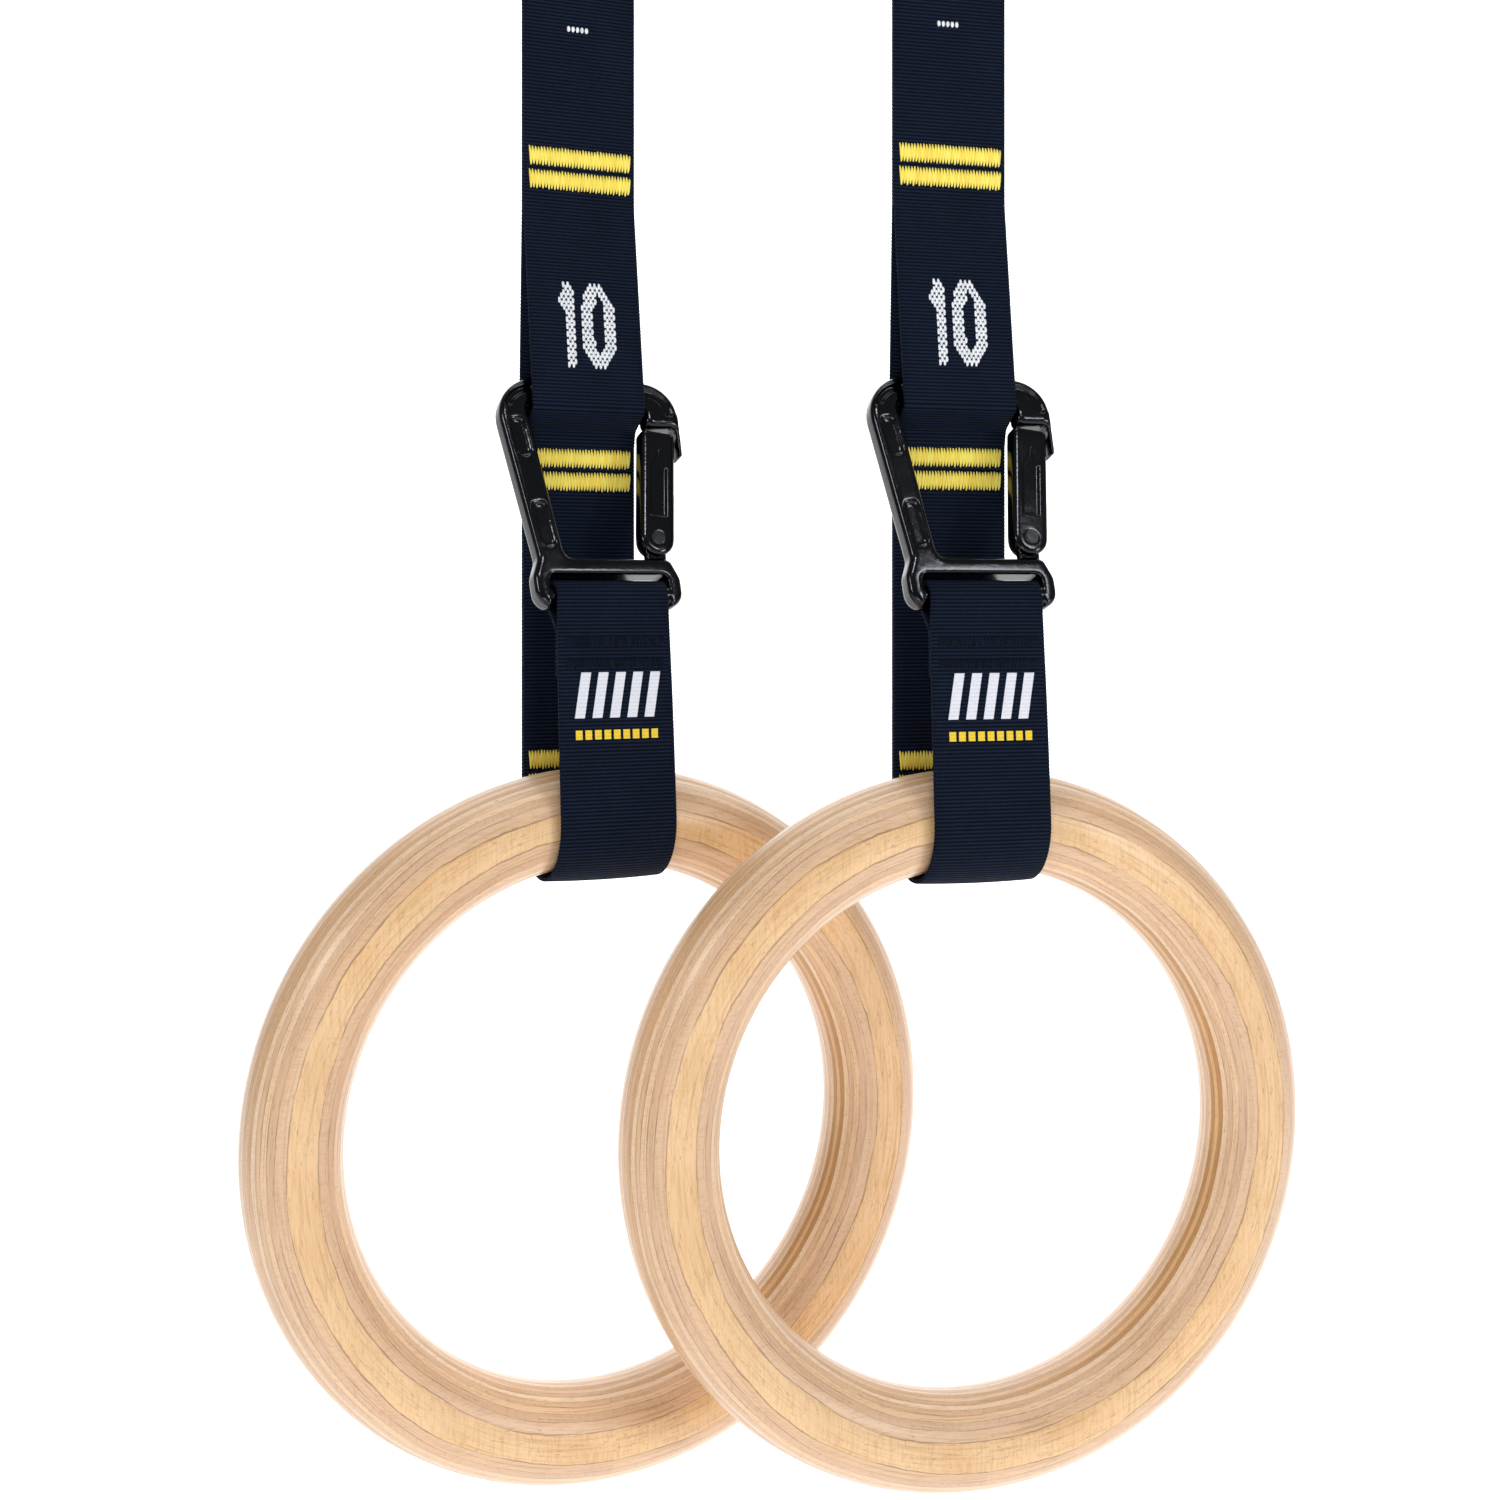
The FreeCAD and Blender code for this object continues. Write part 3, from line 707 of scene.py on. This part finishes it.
def plywood(side):
    """Birch veneers stacked along the ring's axis, turned round and lacquered."""
    n = Nodes(side + "_birch_plywood")
    mapping = n.node("Mapping", vector_type="TEXTURE")
    mapping.inputs["Location"].default_value = side_matrix(side).translation
    mapping.inputs["Rotation"].default_value = (0, 0, side_yaw(side))
    mapping.inputs["Scale"].default_value = (0.001, 0.001, 0.001)
    n.link(n.object_point(), mapping.inputs["Vector"])
    place = mapping.outputs[0]                 # millimetres in the ring's own frame
    x, y, z = n.split(place)
    angle = n.math("ARCTAN2", x, z)
    radial = n.math("SQRT", n.add(n.times(x, x), n.times(z, z)))

    # the veneers are slightly wavy, so their edges wander on the turned surface
    wander = n.noise(place, scale=0.02)
    fine = n.noise(place, scale=0.3)
    depth = n.add(y, n.times(n.minus(wander, 0.5), 1.6))
    depth = n.add(depth, n.times(n.minus(fine, 0.5), 0.16))
    layer = n.math("DIVIDE", n.add(depth, FACE_DEPTH), PLY)
    index = n.math("MAXIMUM", n.add(n.math("FLOOR", layer), 1.0), 0.0)
    within = n.math("FRACT", layer)
    stops = [(i / len(VENEERS), srgb(*c)) for i, c in enumerate(VENEERS)]
    stack = n.math("DIVIDE", n.add(index, 0.5), float(len(VENEERS)))
    colour = n.ramp(stack, stops, "CONSTANT")

    # painted light: the brown core veneers are painted paler on the ring's left, as a lit side
    core = n.math("LESS_THAN", n.math("ABSOLUTE", n.minus(index, float(CORE))), 1.5)
    left = n.minus(0.5, n.times(n.math("DIVIDE", x, radial), 0.5))
    colour = n.mix(n.times(n.times(core, left), 0.8), colour, srgb(*TAN))

    # grain runs up and down in even veneers and across in odd ones
    way = n.node("Mix", data_type="VECTOR")
    n.link(n.math("MODULO", index, 2.0), way.inputs[0])
    n.link(n.join((x, 1.3), y, (z, 0.05)), way.inputs[4])
    n.link(n.join((x, 0.05), y, (z, 1.3)), way.inputs[5])
    shifted = n.node("VectorMath", operation="ADD")
    n.link(way.outputs[1], shifted.inputs[0])
    n.link(n.join((index, 17.3), 0.0, (index, 9.1)), shifted.inputs[1])
    grain = n.noise(shifted.outputs[0], detail=4.0, roughness=0.6)
    colour = n.tinted(0.75, colour, grain, FIBRE_TINTS)

    # streaks along the ring, where the turned surface cuts the fibres at a low angle
    streak = n.noise(n.join((angle, 3.2), (y, 1.5), (radial, 1.1)), detail=4.0, roughness=0.62)
    colour = n.tinted(1.0, colour, streak, STREAK_TINTS)
    cloud = n.noise(n.join((angle, 1.6), (y, 0.12), (radial, 0.05)))
    colour = n.tinted(0.8, colour, cloud, CLOUD_TINTS)

    # growth figure on the broad face veneers
    figure = n.noise(n.join((x, 0.13), (y, 0.3), (z, 0.026)), distortion=1.4)
    rings = n.math("PINGPONG", n.times(figure, 11.0), 0.5)
    faced = n.tinted(1.0, colour, rings, FIGURE_TINTS)
    faced = n.tinted(1.0, faced, n.noise(place, scale=0.045, detail=3.0), BLOTCH_TINTS)
    on_face = n.math("GREATER_THAN", n.math("ABSOLUTE", depth), FACE_DEPTH)
    colour = n.mix(n.times(on_face, 0.85), colour, faced)

    # thin dark glue lines, strong in places and nearly gone in others
    edge = n.math("MINIMUM", within, n.minus(1.0, within))
    strength = n.noise(n.join((angle, 4.5), (index, 3.7), 0.0), detail=4.0, roughness=0.65)
    width = n.times(n.minus(strength, 0.36), 0.26)
    darkness = n.math("MINIMUM", n.times(strength, 1.25), 0.8)
    glue = n.times(n.math("LESS_THAN", edge, width), darkness)
    colour = n.mix(glue, colour, srgb(*GLUE))

    # short dark fibres
    dashes = n.noise(n.join((angle, 34.0), (y, 3.6), (radial, 2.4)), detail=1.0)
    dash = n.times(n.limited(n.times(n.minus(dashes, 0.66), 14.0), 0.0, 1.0), 0.5)
    colour = n.mix(dash, colour, srgb(*DARK_FIBRE))

    n.feed("Base_Color", colour)
    n.feed("Roughness", n.add(0.34, n.times(streak, 0.18)))
    n.set(Coat_Weight=0.6, Coat_Roughness=0.3, Specular_IOR_Level=0.5)
    n.bump(n.minus(n.times(grain, 0.5), n.add(n.times(glue, 0.8), dash)), 0.00006, 0.6)
    return n.material


def rib_height(n, s):
    """1 on a weft rib's crown, 0 between ribs."""
    turn = n.times(s, 2 * math.pi / RIB_PITCH)
    return n.add(0.5, n.times(n.math("COSINE", turn), 0.5))


def webbing_material(name, dark, light):
    """Ribs across the webbing, each broken into cells by the warp, offset from row to row, with
    painted highlights on the crowns and painted shade between them.
    """
    n = Nodes(name)
    x, s, _ = n.split(n.uv())
    rib = rib_height(n, s)
    row = n.math("FLOOR", n.math("DIVIDE", n.add(s, RIB_PITCH / 2), RIB_PITCH / 2))
    offset = n.times(n.math("MODULO", row, 2.0), 0.5)
    column = n.add(n.math("DIVIDE", x, WARP_PITCH), offset)
    warp = n.math("ABSOLUTE", n.math("SINE", n.times(column, math.pi)))
    weave = n.add(n.times(rib, 0.3), n.times(n.times(rib, warp), 0.7))
    yarn = n.noise(n.join((x, 2.2), (s, 0.25), 0.0), detail=3.0)
    cloud = n.noise(n.join((x, 0.06), (s, 0.035), 0.0), detail=3.0)
    fibre = n.noise(n.join((x, 9.0), (s, 4.0), 0.0))
    # painted light: the weave's rib crowns and cells are painted lighter, as painted highlights,
    # and the gaps between them darker, as painted shade; the yarn, cloud and fibre noise is the
    # yarn's own tone
    tone = n.times(n.math("POWER", weave, 1.1), n.add(0.55, n.times(yarn, 0.9)))
    tone = n.times(tone, n.add(0.6, n.times(cloud, 0.8)))
    tone = n.add(tone, n.times(n.minus(fibre, 0.5), 0.25))
    n.feed("Base_Color", n.mix(tone, dark, light))
    n.feed("Roughness", n.add(0.62, n.times(fibre, 0.2)))
    n.set(Specular_IOR_Level=0.06)
    n.bump(n.add(n.times(weave, 0.8), n.times(fibre, 0.25)), 0.00022, 0.8)
    return n.material


def thread_material(name, dark, light, roughness=0.42, sheen=0.25, specular=0.5):
    """Lustrous thread with its twist, with painted shade in the twist's grooves. UV is (turn,
    millimetres along).
    """
    n = Nodes(name)
    turn, run, _ = n.split(n.uv())
    ply = n.math("FRACT", n.add(n.times(turn, 2.0), n.times(run, 1.1)))
    twist = n.math("ABSOLUTE", n.minus(n.times(ply, 2.0), 1.0))
    shade = n.node("Attribute", attribute_name=SHADE).outputs["Fac"]
    # painted shade: the base colour is darker in the grooves of the twist; the shade attribute is
    # each stitch's own random tone
    tone = n.minus(n.add(0.62, n.times(shade, 0.22)), n.times(twist, 0.16))
    n.feed("Base_Color", n.mix(tone, dark, light))
    n.feed("Roughness", n.add(roughness, n.times(twist, 0.12)))
    n.set(Specular_IOR_Level=specular, Sheen_Weight=sheen, Sheen_Roughness=0.4)
    n.bump(n.minus(1.0, twist), 0.00008, 0.5)
    return n.material


def ink_material(name, colour, worn):
    """Screen-printed ink that lets the ribs through and is thin between them."""
    n = Nodes(name)
    x, s, _ = n.split(n.uv())
    rib = rib_height(n, s)
    speck = n.noise(n.join((x, 2.4), (s, 2.4), 0.0), detail=3.0)
    fade = n.times(n.math("GREATER_THAN", speck, 0.66), 0.5)
    fade = n.add(fade, n.times(n.minus(1.0, rib), 0.16))
    n.feed("Base_Color", n.mix(fade, colour, worn))
    n.feed("Roughness", n.add(0.5, n.times(speck, 0.2)))
    n.bump(n.add(rib, n.times(speck, 0.4)), 0.00012, 0.6)
    return n.material


def black_alloy(name, base, rough):
    """Thick gloss black coating over a forged body."""
    n = Nodes(name)
    place = n.object_point()
    peel = n.noise(place, scale=520.0)
    swell = n.noise(place, scale=90.0)
    haze = n.noise(place, scale=60.0, detail=4.0, roughness=0.65)
    scuff = n.noise(place, scale=1500.0, detail=3.0, roughness=0.7)
    marks = n.times(n.math("GREATER_THAN", scuff, 0.71), 0.25)
    n.feed("Base_Color", n.mix(marks, base, (0.05, 0.05, 0.055)))
    n.feed("Roughness", n.add(rough, n.times(n.minus(haze, 0.4), 0.22)))
    n.set(Specular_IOR_Level=0.3, Specular_Tint=(0.82, 0.88, 1.0, 1))
    n.set(Coat_Weight=0.2, Coat_Roughness=0.09)
    n.bump(n.add(n.times(peel, 0.3), swell), 0.00022, 0.5)
    return n.material


def steel(name, dark, light):
    n = Nodes(name)
    drawn = n.noise(n.object_point(), scale=900.0, detail=3.0)
    n.feed("Base_Color", n.mix(drawn, dark, light))
    n.feed("Roughness", n.add(0.3, n.times(drawn, 0.2)))
    n.set(Metallic=1.0)
    n.bump(drawn, 0.00003, 0.4)
    return n.material


# ---------------------------------------------------------------- solid pieces
def wooden_ring(side, matrix, material):
    around, across = 256, 64
    points = []
    for i in range(around):
        a = 2 * math.pi * i / around
        for j in range(across):
            b = 2 * math.pi * j / across
            r = RING_RADIUS + TUBE_RADIUS * math.cos(b)
            points.append((r * math.sin(a), TUBE_RADIUS * math.sin(b), r * math.cos(a)))
    faces = grid_faces(around, across, wrap=True)
    last = (around - 1) * across
    for j in range(across):
        k = (j + 1) % across
        faces.append((last + j, last + k, k, j))
    return new_object(side + "_ring_wood", points, faces, matrix, material)


def softened(name, node, voxel, passes, material):
    """The CAD node's shape with its edges rounded as a forging's are. voxel is in metres."""
    obj = bpy.data.objects.new(name, frame["nodes"][node].data.copy())
    bpy.context.scene.collection.objects.link(obj)
    remesh = obj.modifiers.new("remesh", "REMESH")
    remesh.mode = "VOXEL"
    remesh.voxel_size = voxel
    remesh.use_smooth_shade = True
    smooth = obj.modifiers.new("smooth", "SMOOTH")
    smooth.factor = 0.5
    smooth.iterations = passes
    bpy.context.view_layer.update()
    graph = bpy.context.evaluated_depsgraph_get()
    mesh = bpy.data.meshes.new_from_object(obj.evaluated_get(graph))
    obj.modifiers.clear()
    obj.data = mesh
    mesh.materials.clear()
    mesh.materials.append(material)
    mesh.polygons.foreach_set("use_smooth", [True] * len(mesh.polygons))
    return obj


def polyline_distance(points, line):
    """Distance of 2-D points from a polyline."""
    best = np.full(len(points), np.inf)
    for a, b in zip(np.array(line[:-1], float), np.array(line[1:], float)):
        along = b - a
        t = np.clip(((points - a) @ along) / (along @ along), 0, 1)
        best = np.minimum(best, np.linalg.norm(points - a - t[:, None] * along, axis=1))
    return best


def smoothstep(t):
    t = np.clip(t, 0, 1)
    return t * t * (3 - 2 * t)


CHANNEL_SLOPE = 1.1          # width of a channel's sloping side


def engrave(obj, side, hollow, depth, flat_from):
    """Sinks the front and back faces of a carabiner piece where hollow(x, z) is positive.

    x and z are the upright carabiner's own, and hollow gives millimetres inside the channel's
    edge. Points nearer than flat_from to mid-thickness stay.
    """
    to_row = np.array(side_matrix(side))
    to_side = np.linalg.inv(to_row)
    count = len(obj.data.vertices)
    placed = np.zeros(3 * count)
    obj.data.vertices.foreach_get("co", placed)
    place = placed.reshape(-1, 3) @ to_side[:3, :3].T + to_side[:3, 3]
    dy, dz = place[:, 1] - CARABINER_TOP[0], place[:, 2] - CARABINER_TOP[1]
    y = dy * math.cos(LEAN) - dz * math.sin(LEAN)
    z = dy * math.sin(LEAN) + dz * math.cos(LEAN)
    sunk = depth * smoothstep(hollow(place[:, 0], z) / CHANNEL_SLOPE) * (np.abs(y) > flat_from)
    y = y - np.sign(y) * sunk
    place[:, 1] = CARABINER_TOP[0] + y * math.cos(LEAN) + z * math.sin(LEAN)
    place[:, 2] = CARABINER_TOP[1] - y * math.sin(LEAN) + z * math.cos(LEAN)
    placed = place @ to_row[:3, :3].T + to_row[:3, 3]
    obj.data.vertices.foreach_set("co", placed.ravel())
    obj.data.update()


def arc_points(centre, radius, start, end):
    angles = np.radians(np.linspace(start, end, 9))
    return [(centre[0] + radius * math.cos(a), centre[1] + radius * math.sin(a)) for a in angles]


# each is a middle line and half the channel's width
ARCH_CHANNELS = [
    (arc_points((21.3, -12.5), 8.3, 104, 8), 1.9),
    (arc_points((-19.0, -14.0), 9.6, 92, 152), 1.7),
]


def arch_hollow(x, z):
    points = np.c_[x, z]
    depths = [half - polyline_distance(points, line) for line, half in ARCH_CHANNELS]
    return np.max(depths, axis=0)


GATE_CHANNEL_HALF, GATE_CHANNEL_FOOT, GATE_CHANNEL_SHOULDER = 3.3, 7.5, 26.0


def gate_hollow(x, z):
    """A channel up the gate, from over its rivet, that ends in a point under its tip."""
    dx, dz = x - GATE_PIVOT[0], z - GATE_PIVOT[1]
    across = dx * math.cos(GATE_TILT) - dz * math.sin(GATE_TILT)
    up = dx * math.sin(GATE_TILT) + dz * math.cos(GATE_TILT)
    half = GATE_CHANNEL_HALF - 0.5 * np.maximum(up - GATE_CHANNEL_SHOULDER, 0)
    return np.minimum(half - np.abs(across), up - GATE_CHANNEL_FOOT)


def use_on_node(node, material):
    obj = frame["nodes"][node]
    obj.data.materials.clear()
    obj.data.materials.append(material)


# ---------------------------------------------------------------- stage, light and camera
PURE_WHITE = (1, 1, 1, 1)
FLOOR_Z = -0.72
FLOOR_FRONT, FLOOR_BACK, FLOOR_HALF_WIDTH = -4.0, 2.2, 6.0
SWEEP_RADIUS, SWEEP_STEPS, WALL_HEIGHT = 1.2, 24, 5.0

LIGHT_TARGET = (0.07, 0, -0.35)
LIGHTS = [                   # name, place, size, watts
    ("key", (1.35, -0.95, -0.12), (0.22, 0.5), 5),
    ("fill", (-1.1, -1.1, 0.45), (0.25, 0.25), 2.9),
    ("top", (0.1, -0.1, 1.1), (0.8, 0.4), 4),
    ("front", (0.0, -1.6, -0.5), (0.4, 0.4), 2.3),
    ("glint_high", (0.25, -1.0, 0.75), (0.35, 0.08), 2.5),
    ("glint_left", (-0.75, -0.95, 0.2), (0.12, 0.3), 1.6),
    ("glint_low", (0.15, -0.9, -1.0), (0.3, 0.1), 1.0),
    ("glint_right", (0.85, -0.8, 0.35), (0.12, 0.25), 1.4),
]


def backdrop():
    """A pale floor that sweeps up into a wall behind the object, glowing faintly all over."""
    paper = Nodes("studio_paper")
    paper.set(Base_Color=(0.92, 0.92, 0.92, 1), Roughness=0.9, Specular_IOR_Level=0.1,
              Emission_Color=PURE_WHITE, Emission_Strength=0.45)
    profile = [(FLOOR_FRONT, FLOOR_Z)]
    for k in range(SWEEP_STEPS + 1):
        a = math.pi / 2 * k / SWEEP_STEPS
        profile.append((FLOOR_BACK + SWEEP_RADIUS * math.sin(a),
                        FLOOR_Z + SWEEP_RADIUS * (1 - math.cos(a))))
    profile.append((FLOOR_BACK + SWEEP_RADIUS, FLOOR_Z + WALL_HEIGHT))
    points = [(x, y, z) for y, z in profile for x in (-FLOOR_HALF_WIDTH, FLOOR_HALF_WIDTH)]
    faces = grid_faces(len(profile), 2)
    floor = new_object("studio_floor", points, faces, Matrix.Identity(4), paper.material)


def area_light(name, place, target, size, watts):
    data = bpy.data.lights.new(name, "AREA")
    data.shape = "RECTANGLE"
    data.size, data.size_y = size
    data.energy = watts
    light = bpy.data.objects.new(name, data)
    light.location = place
    aim = Vector(target) - Vector(place)
    light.rotation_euler = aim.to_track_quat("-Z", "Y").to_euler()
    bpy.context.scene.collection.objects.link(light)


def studio():
    backdrop()
    world = bpy.data.worlds.new("studio")
    bpy.context.scene.world = world
    world.use_nodes = True
    tree = world.node_tree
    room, paper = tree.nodes["Background"], tree.nodes.new("ShaderNodeBackground")
    for background, strength in ((room, 0.2), (paper, 1.0)):
        background.inputs[0].default_value = PURE_WHITE
        background.inputs[1].default_value = strength
    # the room lights the object dimly, and looks like more white paper wherever it is seen
    seen = tree.nodes.new("ShaderNodeLightPath")
    blend = tree.nodes.new("ShaderNodeMixShader")
    tree.links.new(seen.outputs["Is Camera Ray"], blend.inputs[0])
    tree.links.new(room.outputs[0], blend.inputs[1])
    tree.links.new(paper.outputs[0], blend.inputs[2])
    tree.links.new(blend.outputs[0], tree.nodes["World Output"].inputs[0])
    for name, place, size, watts in LIGHTS:
        area_light(name, place, LIGHT_TARGET, size, watts)
    area_light("wall", (0.1, 1.2, 1.6), (0.1, 3.0, -0.2), (3.0, 1.5), 80)


def photographer():
    """Level camera at the height of the carabiners' foot, looking along +Y."""
    data = bpy.data.cameras.new("camera")
    data.lens, data.sensor_width = 48.0, 36.0
    data.shift_y = -0.1       # the picture hangs below the lens's level
    data.clip_start, data.clip_end = 0.01, 50
    camera = bpy.data.objects.new("camera", data)
    camera.location = (0.0583, -0.6798, -0.299)
    camera.rotation_euler = (math.pi / 2, 0, 0)
    bpy.context.scene.collection.objects.link(camera)
    bpy.context.scene.camera = camera


# ---------------------------------------------------------------- the object
NAVY = webbing_material("navy_webbing", (0.0009, 0.0017, 0.0046), (0.0125, 0.0225, 0.052))
YELLOW = thread_material("yellow_thread", srgb(240, 194, 42), srgb(255, 250, 116))
DARK_THREAD = thread_material("navy_thread", (0.001, 0.0018, 0.005), (0.008, 0.013, 0.028),
                              roughness=0.6, sheen=0.0, specular=0.06)
WHITE = thread_material("white_float", srgb(214, 222, 236), srgb(255, 255, 255), roughness=0.5)
INK_WHITE = ink_material("white_ink", srgb(226, 228, 238), srgb(120, 124, 144))
INK_YELLOW = ink_material("yellow_ink", srgb(240, 205, 40), srgb(120, 100, 30))
ALLOY = black_alloy("black_alloy", (0.0008, 0.0009, 0.0016), 0.11)
RIVET = black_alloy("black_rivet", (0.02, 0.02, 0.022), 0.2)
STEEL = steel("spring_steel", (0.385, 0.385, 0.392), (0.55, 0.55, 0.56))

photographer()
studio()

for side in SIDES:
    matrix = side_matrix(side)
    strap_body, gate_body, ring_body = side + "_strap", side + "_gate", side + "_ring"

    webbing = STRAP.build(side + "_webbing", matrix, NAVY)
    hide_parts(side + "_strap_webbing", side + "_pocket_webbing", side + "_hang_eye")
    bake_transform(webbing)

    for number in (1, 2, 3, 4):
        tack = bar_tack(side, number, matrix, YELLOW)
        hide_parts("%s_bar_tack_%d" % (side, number))
        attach(tack, "hang_eyes" if number == 4 else strap_body)
    stitching = band_tack(side, matrix, DARK_THREAD)
    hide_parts(side + "_band_tack")
    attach(stitching, strap_body)

    marks = number_marks(side, matrix, WHITE)
    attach(marks, strap_body)
    for print_piece in band_prints(side, matrix, INK_WHITE, INK_YELLOW):
        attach(print_piece, strap_body)

    ring = wooden_ring(side, matrix, plywood(side))
    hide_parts(side + "_wooden_ring")
    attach(ring, ring_body)

    body = softened(side + "_carabiner_body", side + "_carabiner_frame", 0.0003, 55, ALLOY)
    engrave(body, side, arch_hollow, depth=0.9, flat_from=2.4)
    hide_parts(side + "_carabiner_frame")
    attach(body, strap_body)
    gate = softened(side + "_carabiner_gate_body", side + "_carabiner_gate", 0.00028, 60, ALLOY)
    engrave(gate, side, gate_hollow, depth=0.8, flat_from=2.0)
    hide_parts(side + "_carabiner_gate")
    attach(gate, gate_body)
    use_on_node(side + "_gate_pivot", RIVET)
    use_on_node(side + "_gate_plunger", STEEL)
    use_on_node(side + "_gate_spring", STEEL)

bpy.context.scene.view_settings.view_transform = "Standard"
